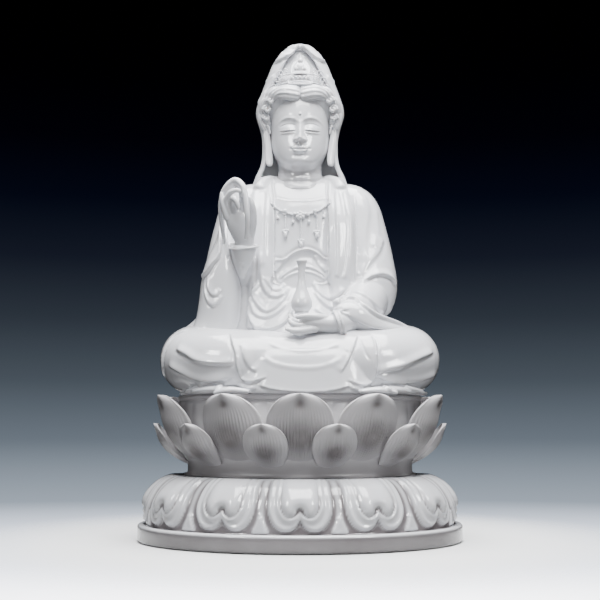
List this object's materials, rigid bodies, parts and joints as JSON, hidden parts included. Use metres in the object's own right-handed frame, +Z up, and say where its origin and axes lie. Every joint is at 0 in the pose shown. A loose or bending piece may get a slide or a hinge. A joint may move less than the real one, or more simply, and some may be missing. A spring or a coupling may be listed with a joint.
{
  "type": "seated guanyin figure on a lotus throne",
  "caption": "Seated veiled figure in glazed porcelain on a petalled lotus throne and a turned-lotus base, one hand raised and a small vase standing on the other palm.",
  "frame": {"origin": "middle of the base's underside", "axes": "+Z up; the figure faces -Y; +X is the figure's left, on the right seen from the front"},
  "size_m": [0.25, 0.202, 0.3963],
  "materials": {
    "white_glaze": "clear gloss glaze on white porcelain",
    "petal_glaze": "satin glaze on white porcelain"
  },
  "bodies": {
    "root": {"turned_lotus_base": "white_glaze", "lotus_throne": "petal_glaze", "guanyin_figure": "white_glaze", "water_vase": "white_glaze"}
  },
  "joints": []
}
